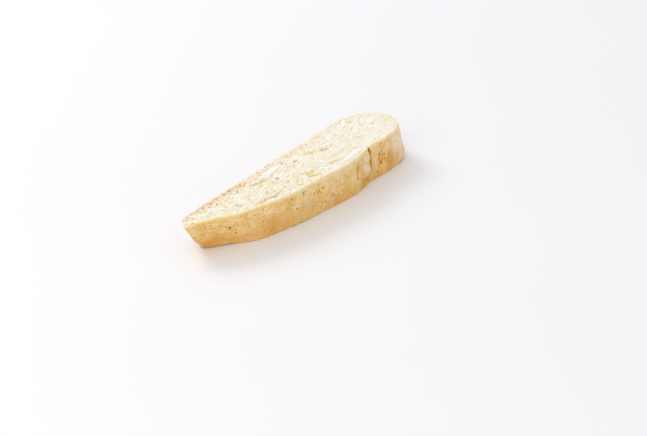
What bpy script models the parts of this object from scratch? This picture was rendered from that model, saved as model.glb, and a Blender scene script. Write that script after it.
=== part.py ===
"""One almond biscotti slice, lying flat on a cut face.

The slice was cut at a slant from the end of a low loaf, so its left end runs out to a thin
undercut tip.  +X runs along the slice from that tip to the broad end, -Y is the domed top crust
of the loaf, +Y its flat base crust, and +Z is up through the upper cut face.
"""
import math

import bmesh
import bpy
import numpy as np
from mathutils import Matrix, Vector

MM = 0.001

# Outline of the upper cut face in mm (along, across): from the tip along the domed crust to the
# broad end, then back along the base crust.
OUTLINE = (
    (-66.6, 9.4), (-63.0, 7.3), (-57.0, 4.3), (-50.0, -0.1), (-44.0, -2.9), (-35.0, -6.1),
    (-24.0, -9.1), (-10.0, -10.9), (4.0, -12.6), (18.0, -13.6), (26.0, -12.7), (34.0, -11.8),
    (44.0, -12.3), (54.5, -12.1), (60.2, -9.6), (63.5, -5.6), (64.5, -1.4), (63.2, 2.8),
    (59.8, 7.4), (54.2, 11.0), (46.0, 12.3), (20.0, 12.6), (-20.0, 13.1), (-60.0, 13.1),
    (-64.8, 11.9),
)
RING_POINTS = 112
LEVELS = (0.0, 0.035, 0.2, 0.4, 0.6, 0.8, 0.965, 1.0)  # heights of the rings, of the thickness

TIP_THICKNESS = 14.9
END_THICKNESS = 16.1
SLANT = 2.3  # how far the lower cut face is shifted towards the broad end
UNDERCUT = 10.5  # how much further it is shifted at the tip
WIDEST = 19.0  # where along the slice the undercut has run out
RIM = 0.5  # rounding of the cut edges

BASE_LEAN = 1.2  # how far the base crust leans out at the bottom
DOME_LEAN = 0.5  # the same for the domed crust
DOME_FLARES = ((-50.0, 14.0, 2.4), (43.0, 8.0, 1.0))  # (along, reach, extra lean)
BELLY = 0.4  # how far the crust bulges at half height
END_BELLY = 0.9  # how much more it bulges round the broad end

GAP = 0.3  # between an almond and its pocket
CUT_CLEAR = 1.0  # how far a cutter stands out of the surface it cuts

# Almond slivers laid open by the cut: (along, across, length, width, turn in degrees).
UPPER_ALMONDS = (
    (-10.3, 8.5, 17.0, 3.6, 3.0),
    (21.9, -10.0, 19.0, 3.2, 5.0),
    (25.8, 3.8, 10.6, 2.2, -11.0),
    (46.0, 8.9, 7.6, 2.4, 34.0),
    (-12.0, 1.0, 10.2, 1.8, 4.0),
    (-56.8, 9.6, 7.8, 2.2, -33.0),
    (-48.6, 7.8, 8.6, 2.2, -52.0),
    (6.6, -8.0, 9.6, 2.2, -40.0),
)
LOWER_ALMONDS = (
    (-24.0, 6.5, 13.0, 2.8, -8.0),
    (-4.0, -4.0, 15.0, 3.2, 14.0),
    (22.0, 5.5, 11.0, 2.4, 24.0),
    (38.0, -5.5, 14.0, 3.0, -12.0),
)
ALMOND_DEPTH = 1.8
ALMOND_POINTS = 26
ALMOND_TAPER = 0.28  # how much blunter one end of a sliver is
# Rings of a sliver from its sunken side to its open face: (share of depth, share of outline).
ALMOND_RINGS = ((-1.0, 0.55), (-0.7, 0.85), (-0.2, 1.0), (0.0, 0.97), (0.08, 0.7))

CRUST_ALMOND = (27.9, 7.9, 7.4, 3.8, 25.0)  # along, height, length, width, turn in degrees
CRUST_ALMOND_DEPTH = 2.6
CRUST_ALMOND_PROUD = 0.5  # how far it stands out of the crust

# Bubbles cut open: (along, across, length, width, depth).
UPPER_PORES = (
    (-13.3, 3.2, 1.8, 1.3, 1.0),
    (4.6, 6.1, 1.8, 1.3, 1.0),
    (13.6, 5.1, 1.6, 1.0, 0.8),
    (21.2, 2.0, 4.4, 1.2, 0.9),
    (-31.7, 8.9, 2.0, 1.3, 0.9),
    (-31.0, -4.0, 3.4, 0.9, 0.8),
    (-25.2, -5.2, 5.0, 0.9, 0.8),
    (-2.7, -8.6, 4.6, 1.0, 0.8),
    (38.3, -2.8, 4.6, 1.3, 0.9),
    (53.0, 1.0, 3.4, 1.2, 0.8),
)
LOWER_PORES = (
    (-34.0, 4.0, 4.6, 2.4, 1.4),
    (-18.0, -3.5, 3.6, 2.0, 1.3),
    (-11.0, 8.6, 2.8, 1.6, 1.1),
    (9.0, 8.0, 6.0, 2.4, 1.6),
    (12.0, -6.5, 3.4, 1.8, 1.2),
    (30.0, -0.5, 4.4, 2.2, 1.4),
    (50.0, 4.5, 5.4, 2.6, 1.6),
)

# Clefts in the domed crust, from the top down: (height share, along, width, depth).
MAIN_CRACK = (
    (1.10, 31.4, 1.3, 1.5),
    (0.86, 32.5, 1.4, 1.7),
    (0.64, 32.6, 0.8, 1.4),
    (0.47, 33.0, 0.6, 1.1),
    (0.30, 33.4, 0.3, 0.6),
)
SIDE_CRACK = (
    (0.90, 20.9, 0.6, 0.5),
    (0.70, 20.5, 1.4, 0.9),
    (0.48, 20.6, 1.2, 0.8),
    (0.30, 23.2, 0.5, 0.4),
)
EDGE_NICK = (7.1, 1.2, 1.0)  # along, width, height of a nick in the lower edge

CRUST_COLOUR = (0.730, 0.462, 0.200)
ALMOND_COLOUR = (0.855, 0.765, 0.580)


def clear_objects():
    """Remove what a new file starts with."""
    for thing in list(bpy.data.objects):
        bpy.data.objects.remove(thing, do_unlink=True)


def baked_material(name, colour, roughness):
    """A matt baked surface of one colour."""
    material = bpy.data.materials.new(name)
    material.use_nodes = True
    shader = material.node_tree.nodes["Principled BSDF"]
    shader.inputs["Base Color"].default_value = (*colour, 1.0)
    shader.inputs["Roughness"].default_value = roughness
    shader.inputs["Metallic"].default_value = 0.0
    return material


def smooth_loop(corners, count):
    """Evenly spaced points on the closed smooth curve through the corners."""
    corner = np.array(corners, dtype=float)
    after = np.roll(corner, -1, axis=0)
    before = np.roll(corner, 1, axis=0)
    span = np.sqrt(np.linalg.norm(after - corner, axis=1))[:, None]
    last_span = np.roll(span, 1, axis=0)
    slope = (corner - before) * span / last_span + (after - corner) * last_span / span
    slope = slope / (span + last_span)
    next_slope = np.roll(slope, -1, axis=0)
    part = np.linspace(0.0, 1.0, 40, endpoint=False)[None, :, None]
    start = (2 * part**3 - 3 * part**2 + 1) * corner[:, None]
    leave = (part**3 - 2 * part**2 + part) * (span * slope)[:, None]
    finish = (3 * part**2 - 2 * part**3) * after[:, None]
    arrive = (part**3 - part**2) * (span * next_slope)[:, None]
    dense = (start + leave + finish + arrive).reshape(-1, 2)
    closed = np.vstack([dense, dense[:1]])
    length = np.append(0.0, np.cumsum(np.linalg.norm(np.diff(closed, axis=0), axis=1)))
    wanted = np.arange(count) / count * length[-1]
    return np.column_stack([np.interp(wanted, length, closed[:, axis]) for axis in (0, 1)])


def thickness_at(along):
    """The slice grows a little thicker towards its broad end."""
    tip, end = OUTLINE[0][0], -OUTLINE[0][0]
    return TIP_THICKNESS + (END_THICKNESS - TIP_THICKNESS) * (along - tip) / (end - tip)


def outward(loop):
    """Unit directions pointing out of a loop that runs round against the clock."""
    chord = np.roll(loop, -1, axis=0) - np.roll(loop, 1, axis=0)
    normal = np.column_stack([chord[:, 1], -chord[:, 0]])
    return normal / np.linalg.norm(normal, axis=1)[:, None]


def slice_ring(height, count=RING_POINTS):
    """Points round the crust at a share of the thickness, 0 on the lower cut face."""
    top = smooth_loop(OUTLINE, count)
    along, across = top[:, 0], top[:, 1]
    drop = 1.0 - height
    toward_tip = np.clip((WIDEST - along) / (WIDEST - OUTLINE[0][0]), 0.0, 1.0)
    facing = outward(top)[:, 1]  # +1 on the base crust, -1 on the domed one
    lean = DOME_LEAN
    for place, reach, extra in DOME_FLARES:
        lean = lean + extra * np.exp(-(((along - place) / reach) ** 2))
    ring = np.column_stack([
        along + drop * (SLANT + UNDERCUT * toward_tip),
        across + drop * (BASE_LEAN * np.maximum(facing, 0.0) + lean * np.minimum(facing, 0.0)),
    ])
    round_end = np.clip((along - 40.0) / 20.0, 0.0, 1.0)
    belly = math.sin(math.pi * height) * (BELLY + END_BELLY * round_end)
    edge = RIM * max(0.0, 1.0 - min(height, drop) / LEVELS[1])
    ring = ring + outward(ring) * (belly - edge)[:, None]
    return np.column_stack([ring, height * thickness_at(along)])


def slice_centre():
    """Middle of the slice's box, which the slice is moved off to stand over its origin."""
    rings = np.vstack([slice_ring(level) for level in LEVELS])
    middle = (rings.min(axis=0) + rings.max(axis=0)) / 2
    return np.array([middle[0], middle[1], 0.0])


def add_tube(mesh, rings):
    """Join rings of equal length into one closed skin with capped ends."""
    loops = [[mesh.verts.new(Vector(point) * MM) for point in ring] for ring in rings]
    for lower, upper in zip(loops, loops[1:]):
        for start in range(len(lower)):
            end = (start + 1) % len(lower)
            mesh.faces.new((lower[start], lower[end], upper[end], upper[start]))
    mesh.faces.new(loops[0][::-1])
    mesh.faces.new(loops[-1])


def new_object(name, mesh, material=None):
    """Turn a finished bmesh into an object with its faces outward."""
    bmesh.ops.recalc_face_normals(mesh, faces=mesh.faces)
    data = bpy.data.meshes.new(name)
    mesh.to_mesh(data)
    mesh.free()
    thing = bpy.data.objects.new(name, data)
    bpy.context.scene.collection.objects.link(thing)
    if material:
        data.materials.append(material)
        data.shade_smooth()
        data.set_sharp_from_angle(angle=math.radians(40.0))
    return thing


def sliver_rings(sliver, side, grow=0.0):
    """Rings of an almond sliver, pointed at one end, in a cut face.

    side is +1 for the upper face and -1 for the lower one; grow widens it into its pocket.
    """
    along, across, length, width, turn = sliver
    angle = np.linspace(0.0, 2 * math.pi, ALMOND_POINTS, endpoint=False)
    outline = np.column_stack([
        (length / 2 + grow) * np.cos(angle),
        (width / 2 + grow) * np.sin(angle) * (1 + ALMOND_TAPER * np.cos(angle)),
    ])
    cosine, sine = math.cos(math.radians(turn)), math.sin(math.radians(turn))
    outline = outline @ np.array([[cosine, sine], [-sine, cosine]])
    rings = []
    for level, share in ALMOND_RINGS:
        spread = outline * share + (along, across)
        lift = ALMOND_DEPTH * level
        if side > 0:
            height = thickness_at(spread[:, 0]) + lift
        else:
            height = np.full(ALMOND_POINTS, GAP - lift)  # clear of what the slice lies on
        rings.append(np.column_stack([spread, height]))
    return rings


def pocket_rings(sliver, side):
    """A sliver's rings grown by the gap, and carried on out of the face."""
    rings = sliver_rings(sliver, side, grow=GAP)[:3]
    rings[0] = rings[0] - (0.0, 0.0, side * GAP)
    rim = rings[-1].copy()
    rim[:, 2] += side * (ALMOND_DEPTH + CUT_CLEAR)
    return rings + [rim]


def dome_face(along, height):
    """Where the domed crust stands at a place along the slice and a share of its height."""
    ring = slice_ring(height, 4 * RING_POINTS)
    dome = ring[ring[:, 1] < 6.0]
    dome = dome[np.argsort(dome[:, 0])]
    return float(np.interp(along, dome[:, 0], dome[:, 1]))


def crust_almond_place():
    """Centre of the almond that shows through the crust beside the main crack."""
    along, rise = CRUST_ALMOND[:2]
    sunk = CRUST_ALMOND_DEPTH / 2 - CRUST_ALMOND_PROUD
    return Vector((along, dome_face(along, rise / thickness_at(along)) + sunk, rise))


def add_lens(mesh, place, size, turn=0.0):
    """A squashed ball: size is its length, width and depth along X, Y and Z."""
    made = bmesh.ops.create_icosphere(mesh, subdivisions=2, radius=0.5)
    shape = Matrix.Diagonal((*size, 1.0))
    spin = Matrix.Rotation(math.radians(turn), 4, "Y")
    move = Matrix.Translation(Vector(place))
    bmesh.ops.transform(mesh, matrix=Matrix.Scale(MM, 4) @ move @ spin @ shape, verts=made["verts"])


def add_pore(mesh, pore, side):
    """An open bubble in a cut face, shallower than it is wide."""
    along, across, length, width, depth = pore
    face = thickness_at(along) if side > 0 else 0.0
    add_lens(mesh, (along, across, face), (length, width, 2 * depth))


def add_cleft(mesh, cleft):
    """A wedge that opens the domed crust along a line of given width and depth."""
    rings = []
    for height, along, width, depth in cleft:
        crust = dome_face(along, min(height, 1.0))
        rings.append([
            (along - width / 2, crust - CUT_CLEAR, height * thickness_at(along)),
            (along + width / 2, crust - CUT_CLEAR, height * thickness_at(along)),
            (along + width / 8, crust + depth, height * thickness_at(along)),
            (along - width / 8, crust + depth, height * thickness_at(along)),
        ])
    add_tube(mesh, rings)


def make_cutters(centre):
    """Everything that is taken out of the slice: pockets, pores, clefts and a nick."""
    mesh = bmesh.new()
    for side, slivers, pores in ((1, UPPER_ALMONDS, UPPER_PORES), (-1, LOWER_ALMONDS, LOWER_PORES)):
        for sliver in slivers:
            add_tube(mesh, pocket_rings(sliver, side))
        for pore in pores:
            add_pore(mesh, pore, side)
    add_cleft(mesh, MAIN_CRACK)
    add_cleft(mesh, SIDE_CRACK)
    along, width, rise = EDGE_NICK
    add_lens(mesh, (along, dome_face(along, 0.0), 0.0), (width, width, 2 * rise))
    length, width, turn = CRUST_ALMOND[2:]
    pocket = [size + 2 * GAP for size in (length, CRUST_ALMOND_DEPTH, width)]
    add_lens(mesh, crust_almond_place(), pocket, turn)
    cutters = new_object("cutters", mesh)
    cutters.location = Vector(-centre) * MM
    cutters.hide_render = True
    cutters.display_type = "WIRE"
    return cutters


def make_slice(centre, cutters):
    """The baked dough: one skin from the lower cut face up the crust to the upper cut face."""
    mesh = bmesh.new()
    add_tube(mesh, [slice_ring(level) for level in LEVELS])
    bmesh.ops.triangulate(mesh, faces=[face for face in mesh.faces if len(face.verts) > 4])
    body = new_object("slice", mesh, baked_material("baked dough", CRUST_COLOUR, 0.75))
    body.location = Vector(-centre) * MM
    cut = body.modifiers.new("laid open", "BOOLEAN")
    cut.operation = "DIFFERENCE"
    cut.solver = "EXACT"
    cut.object = cutters


def make_slivers(centre):
    """The almond slivers in both cut faces, each in its own pocket."""
    nut = baked_material("almond", ALMOND_COLOUR, 0.5)
    for face, side, slivers in (("upper", 1, UPPER_ALMONDS), ("lower", -1, LOWER_ALMONDS)):
        for number, sliver in enumerate(slivers, start=1):
            mesh = bmesh.new()
            add_tube(mesh, sliver_rings(sliver, side))
            piece = new_object(f"almond_{face}_{number}", mesh, nut)
            piece.location = Vector(-centre) * MM


def make_crust_almond(centre):
    """The almond that shows through the domed crust."""
    mesh = bmesh.new()
    length, width, turn = CRUST_ALMOND[2:]
    add_lens(mesh, crust_almond_place(), (length, CRUST_ALMOND_DEPTH, width), turn)
    piece = new_object("almond_crust", mesh, baked_material("toasted almond", ALMOND_COLOUR, 0.55))
    piece.location = Vector(-centre) * MM


def main():
    clear_objects()
    centre = slice_centre()
    make_slice(centre, make_cutters(centre))
    make_slivers(centre)
    make_crust_almond(centre)


main()
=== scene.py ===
import math

import bpy
import numpy as np
from mathutils import Matrix, Vector


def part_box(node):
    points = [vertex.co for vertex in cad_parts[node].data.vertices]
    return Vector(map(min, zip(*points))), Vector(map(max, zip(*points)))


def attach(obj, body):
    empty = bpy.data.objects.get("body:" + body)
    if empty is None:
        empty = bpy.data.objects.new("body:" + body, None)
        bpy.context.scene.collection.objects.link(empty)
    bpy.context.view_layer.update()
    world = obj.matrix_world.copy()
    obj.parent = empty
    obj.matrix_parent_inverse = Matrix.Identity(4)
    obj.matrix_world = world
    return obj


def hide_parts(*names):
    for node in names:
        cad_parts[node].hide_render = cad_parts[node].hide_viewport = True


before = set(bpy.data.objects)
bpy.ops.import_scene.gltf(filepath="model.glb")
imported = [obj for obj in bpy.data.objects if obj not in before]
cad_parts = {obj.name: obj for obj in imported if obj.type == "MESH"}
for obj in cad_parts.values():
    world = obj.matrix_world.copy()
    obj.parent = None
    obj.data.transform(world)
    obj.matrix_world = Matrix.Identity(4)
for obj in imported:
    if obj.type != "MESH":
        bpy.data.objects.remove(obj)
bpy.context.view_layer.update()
millimetre = 0.001

# The slice itself, in mm, with its long way along X, its domed crust towards -Y and its flat
# base crust towards +Y.
loaf = {
    # upper cut face, from the tip along the dome to the broad end and back along the base
    "outline": (
        (-66.6, 9.4), (-63.0, 7.3), (-57.0, 4.3), (-50.0, -0.1), (-44.0, -2.9), (-35.0, -6.1),
        (-24.0, -9.1), (-10.0, -10.9), (4.0, -12.6), (18.0, -13.8), (26.0, -12.9), (34.0, -12.1),
        (44.0, -12.5), (54.4, -12.0), (59.7, -9.1), (63.0, -5.1), (64.2, -1.2), (63.1, 2.9),
        (59.8, 7.4), (54.2, 11.0), (46.0, 12.3), (20.0, 12.6), (-20.0, 13.1), (-58.0, 13.1),
        (-62.9, 12.7), (-65.2, 11.1),
    ),
    "tipThickness": 14.9,
    "endThickness": 16.1,
    "slant": 2.3,             # how far the lower cut face is shifted towards the broad end
    "undercut": 10.5,         # how much further at the tip
    "widest": 19.0,           # where the undercut has run out
    "baseLean": 1.2,          # how far the base crust leans out at the bottom
    "domeLean": 0.5,
    "flares": ((-50.0, 14.0, 2.4), (43.0, 8.0, 1.0)),   # along, reach, extra lean
    "tipRise": ((-52.0, -64.0), 0.4),    # where the lower face curls up, and by how much
    "tipWear": ((-60.0, -66.0), 0.6),    # the same for the upper face worn down
    "belly": 0.4,             # how far the crust bulges at half height
    "endBelly": 0.8,          # how much further at the broad end
    "bellyGrows": (40.0, 60.0),   # from, to
    "rim": 0.28,              # rounding of the cut edges
    "spine": (-62.5, 53.0),   # both cut faces close on a line down their middle
    "pitch": 0.36,            # spacing of the points of the skin
    "fine": (18.0, 37.0, 3.0, 1.9),   # from, to, ease, and how much denser along the split crust
}


# One number from 0 to 1 for each whole-number cell: its three numbers are multiplied by large
# odd numbers and added, then folded over themselves. Each pattern has a seed of its own.
def cellNumber(cell, seed):
    cell = cell.astype(np.int64)
    mixed = cell[..., 0] * 374761393 + cell[..., 1] * 668265263 + cell[..., 2] * 1440662683
    mixed = (mixed + seed * 974634777) & 0xFFFFFFFF
    mixed = ((mixed ^ (mixed >> 13)) * 1274126177) & 0xFFFFFFFF
    mixed = ((mixed ^ (mixed >> 15)) * 668265263) & 0xFFFFFFFF
    return (mixed ^ (mixed >> 16)) / 2.0 ** 32


# Smooth lumps: each cell corner has a slope of its own, and a point takes the eight slopes
# round it, faded from corner to corner, and stretched to run from about -1 to 1.
def softNoise(points, size, seed):
    place = points / np.asarray(size, float)
    cell = np.floor(place)
    part = place - cell
    fade = part ** 3 * (part * (part * 6 - 15) + 10)
    total = np.zeros(points.shape[:-1])
    for corner in np.ndindex(2, 2, 2):
        corner = np.array(corner)
        weight = np.prod(np.where(corner, fade, 1 - fade), axis=-1)
        slope = np.stack([cellNumber(cell + corner, seed + axis) for axis in range(3)], -1) * 2 - 1
        total += weight * np.sum(slope * (part - corner), axis=-1)
    return total * 1.7


# Layers of soft noise, each half the size and half as strong as the last, up to about height.
def layeredNoise(points, size, height, seed, layers=3):
    size = np.asarray(size, float)
    total = sum(0.5 ** n * softNoise(points, size / 2 ** n, seed + 10 * n) for n in range(layers))
    return height * (total / sum(0.5 ** n for n in range(layers)))


# 0 below low, 1 above high, and an S-curve between them.
def smoothStep(low, high, value):
    part = np.clip((value - low) / (high - low), 0.0, 1.0)
    return part * part * (3 - 2 * part)


# An amount that comes in along that curve between two values.
def ramp(value, start, stop, amount):
    return amount * smoothStep(start, stop, value)


# Gas bubbles laid open by the knife. Every cell may hold one ball, and the depth is the way from
# the cut down to the far side of the deepest ball there, eased in over a short lip.
def openBubbles(points, side, kind, seed):
    place = points / np.array([kind["stretch"], 1.0, 1.0])
    home = np.floor(place / kind["cell"])
    low, high = kind["radius"]
    deepest = np.zeros(len(points))
    for step in np.ndindex(3, 3, 3):
        cell = home + np.array(step) - 1
        jitter = np.stack([cellNumber(cell, seed + axis) for axis in range(3)], -1)
        away = place - (cell + jitter) * kind["cell"]
        radius = low + (high - low) * cellNumber(cell, seed + 4) ** 2
        reach = radius ** 2 - away[:, 0] ** 2 - away[:, 1] ** 2
        half = np.sqrt(np.maximum(reach, 0.0))
        rise = side * away[:, 2]
        isOpen = (cellNumber(cell, seed + 3) < kind["share"]) & (np.abs(rise) < half)
        lip = smoothStep(0.0, kind["lip"], reach / (2 * radius))
        deepest = np.maximum(deepest, np.where(isOpen, (rise + half) * lip, 0.0))
    return np.minimum(deepest, kind["deepest"])


# Knobbly grains: 1 less the squared way to the nearest of one scattered point per cell, so that
# rounded tops meet in sharp valleys.
def grainLumps(points, size, seed):
    place = points / np.asarray(size, float)
    home = np.floor(place)
    nearest = np.full(len(points), np.inf)
    for step in np.ndindex(3, 3, 3):
        cell = home + np.array(step) - 1
        scatter = np.stack([cellNumber(cell, seed + axis) for axis in range(3)], -1)
        nearest = np.minimum(nearest, np.sum((place - cell - scatter) ** 2, axis=-1))
    return 1 - nearest


# Points pushed about by noise, so that whatever is worked out from them wanders too.
def stirred(points, size, reach, seed):
    shove = np.stack([softNoise(points, (size,) * 3, seed + 3 * axis) for axis in range(3)], -1)
    return points + reach * shove


# One row for each turned oval of a table: its amount in the middle, faded to nothing over slope,
# which is in shares of the way from there to its rim. Wander moves that rim.
def ovalAmounts(along, across, ovals, wander, slope):
    amounts = []
    for x, y, length, width, turn, amount in ovals:
        cosine, sine = math.cos(math.radians(turn)), math.sin(math.radians(turn))
        ahead = (along - x) * cosine + (across - y) * sine
        aside = (across - y) * cosine - (along - x) * sine
        share = np.hypot(ahead / (length / 2), aside / (width / 2))
        amounts.append(amount * smoothStep(*slope, share + wander))
    return np.array(amounts)


# Dense points on the closed smooth curve through the corners: a cubic between neighbours whose
# slopes are weighted by the root of the distance to each.
def smoothLoop(corners):
    corner = np.array(corners, float)
    after, before = np.roll(corner, -1, axis=0), np.roll(corner, 1, axis=0)
    span = np.sqrt(np.linalg.norm(after - corner, axis=1))[:, None]
    lastSpan = np.roll(span, 1, axis=0)
    slope = (corner - before) * span / lastSpan + (after - corner) * lastSpan / span
    slope = slope / (span + lastSpan)
    nextSlope = np.roll(slope, -1, axis=0)
    part = np.linspace(0.0, 1.0, 160, endpoint=False)[None, :, None]   # points between corners
    start = (2 * part ** 3 - 3 * part ** 2 + 1) * corner[:, None]
    leave = (part ** 3 - 2 * part ** 2 + part) * (span * slope)[:, None]
    finish = (3 * part ** 2 - 2 * part ** 3) * after[:, None]
    arrive = (part ** 3 - part ** 2) * (span * nextSlope)[:, None]
    return (start + leave + finish + arrive).reshape(-1, 2)


# Count steps along a line, closer together where density is high.
def respace(line, density, count):
    step = np.linalg.norm(np.diff(line, axis=0), axis=1) * (density[1:] + density[:-1]) / 2
    length = np.append(0.0, np.cumsum(step))
    wanted = np.linspace(0.0, length[-1], count + 1)
    return np.column_stack([np.interp(wanted, length, line[:, axis]) for axis in (0, 1)])


# The outline as one loop from the tip along the dome and back along the base, with as many
# points on one as on the other, so that point n and point -n face each other.
def outlineLoop():
    dense = smoothLoop(loaf["outline"])
    dense = np.roll(dense, -np.argmin(dense[:, 0]), axis=0)
    apex = np.argmax(dense[:, 0])
    dome, base = dense[:apex + 1], np.vstack([dense[apex:], dense[:1]])
    low, high, ease, denser = loaf["fine"]
    near = smoothStep(low - ease, low, dome[:, 0]) * smoothStep(high + ease, high, dome[:, 0])
    half = int(np.linalg.norm(np.diff(base, axis=0), axis=1).sum() / loaf["pitch"])
    dome = respace(dome, 1 + (denser - 1) * near, half)
    base = respace(base, np.ones(len(base)), half)
    return np.vstack([dome[:-1], base[:-1]])


# Thickness: it grows in a straight line from the tip to as far beyond the middle.
def thicknessAt(along):
    tip, end = loaf["outline"][0][0], -loaf["outline"][0][0]
    share = (along - tip) / (end - tip)
    return loaf["tipThickness"] + (loaf["endThickness"] - loaf["tipThickness"]) * share


# Unit directions out of a loop that runs round against the clock.
def outwardOf(loop):
    chord = np.roll(loop, -1, axis=0) - np.roll(loop, 1, axis=0)
    normal = np.column_stack([chord[:, 1], -chord[:, 0]])
    return normal / np.linalg.norm(normal, axis=1)[:, None]


# One ring of the crust at a share of the thickness: the outline moved by the slant, leaned by
# the way it faces, bulged by half a sine wave and drawn in by inset. At the tip an S-curve lifts
# its lower end and wears down its upper one.
def crustRing(outline, height, inset=0.0):
    along, across = outline[:, 0], outline[:, 1]
    drop = 1.0 - height
    towardTip = np.clip((loaf["widest"] - along) / (loaf["widest"] - loaf["outline"][0][0]), 0, 1)
    facing = outwardOf(outline)[:, 1]
    lean = loaf["domeLean"] + sum(extra * np.exp(-((along - place) / reach) ** 2)
                                  for place, reach, extra in loaf["flares"])
    lean = loaf["baseLean"] * np.maximum(facing, 0.0) + lean * np.minimum(facing, 0.0)
    ring = np.column_stack([along + drop * (loaf["slant"] + loaf["undercut"] * towardTip),
                            across + drop * lean])
    start, stop = loaf["bellyGrows"]
    roundEnd = np.clip((along - start) / (stop - start), 0.0, 1.0)
    belly = math.sin(math.pi * height) * (loaf["belly"] + loaf["endBelly"] * roundEnd)
    ring = ring + outwardOf(ring) * (belly - inset)[:, None]
    (low, high), rise = loaf["tipRise"]
    rise = drop * rise * smoothStep(low, high, along)
    (low, high), wear = loaf["tipWear"]
    wear = wear * smoothStep(low, high, along)
    return np.column_stack([ring, height * (thicknessAt(along) - wear) + rise])


# The skin in rows: the lower cut face from its spine outwards, its rounded edge, the crust, the
# other edge, and the upper cut face in to its spine. A cut face is a straight blend from rim to
# spine, and an edge is a quarter circle. Tilt is -1 facing down, 0 sideways and 1 up.
def skinRows(outline):
    rim, pitch = loaf["rim"], loaf["pitch"]
    middle = (loaf["tipThickness"] + loaf["endThickness"]) / 2
    halfWidth = np.ptp(outline[:, 1]) / 2
    half = len(outline) // 2
    inward = np.linspace(0.0, 1.0, int(halfWidth / pitch) + 1)[1:-1]
    bend = np.linspace(0.0, math.pi / 2, 4)[1:-1]   # two rows round each edge
    heights = np.linspace(rim / middle, 1 - rim / middle, int((middle - 2 * rim) / pitch))
    facing = np.append(np.arange(half + 1), np.arange(half - 1, 0, -1))

    # the line halfway between the points that face each other, shortened to its own ends
    def spineOf(ring):
        other = np.roll(ring[::-1], 1, axis=0)
        line = ((ring + other) / 2)[:half + 1]
        share = (line[:, 0] - line[0, 0]) / (line[-1, 0] - line[0, 0])
        low = loaf["spine"][0] + (line[0, 0] - outline[0, 0])
        high = loaf["spine"][1] + (line[-1, 0] - outline[half, 0])
        line[:, 0] = low + (high - low) * share
        return line

    lower, upper = crustRing(outline, 0.0, rim), crustRing(outline, 1.0, rim)
    spines = [spineOf(lower), spineOf(upper)]
    rows = [lower + (spines[0][facing] - lower) * share for share in inward[::-1]]
    rows += [crustRing(outline, rim * (1 - math.cos(a)) / middle, rim * (1 - math.sin(a)))
             for a in (0.0, *bend)]
    rows += [crustRing(outline, height) for height in heights]
    rows += [crustRing(outline, 1 - rim * (1 - math.cos(a)) / middle, rim * (1 - math.sin(a)))
             for a in (*bend[::-1], 0.0)]
    rows += [upper + (spines[1][facing] - upper) * share for share in inward]
    edge = 1 - np.append(0.0, bend) / (math.pi / 2)
    tilt = np.concatenate([-np.ones(len(inward)), -edge, np.zeros(len(heights)), edge[::-1],
                           np.ones(len(inward))])
    return np.array(rows), tilt, spines


outline = outlineLoop()
rows, tilt, spines = skinRows(outline)
print("slice skin:", rows.shape[0], "rows of", rows.shape[1], "points")

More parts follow.
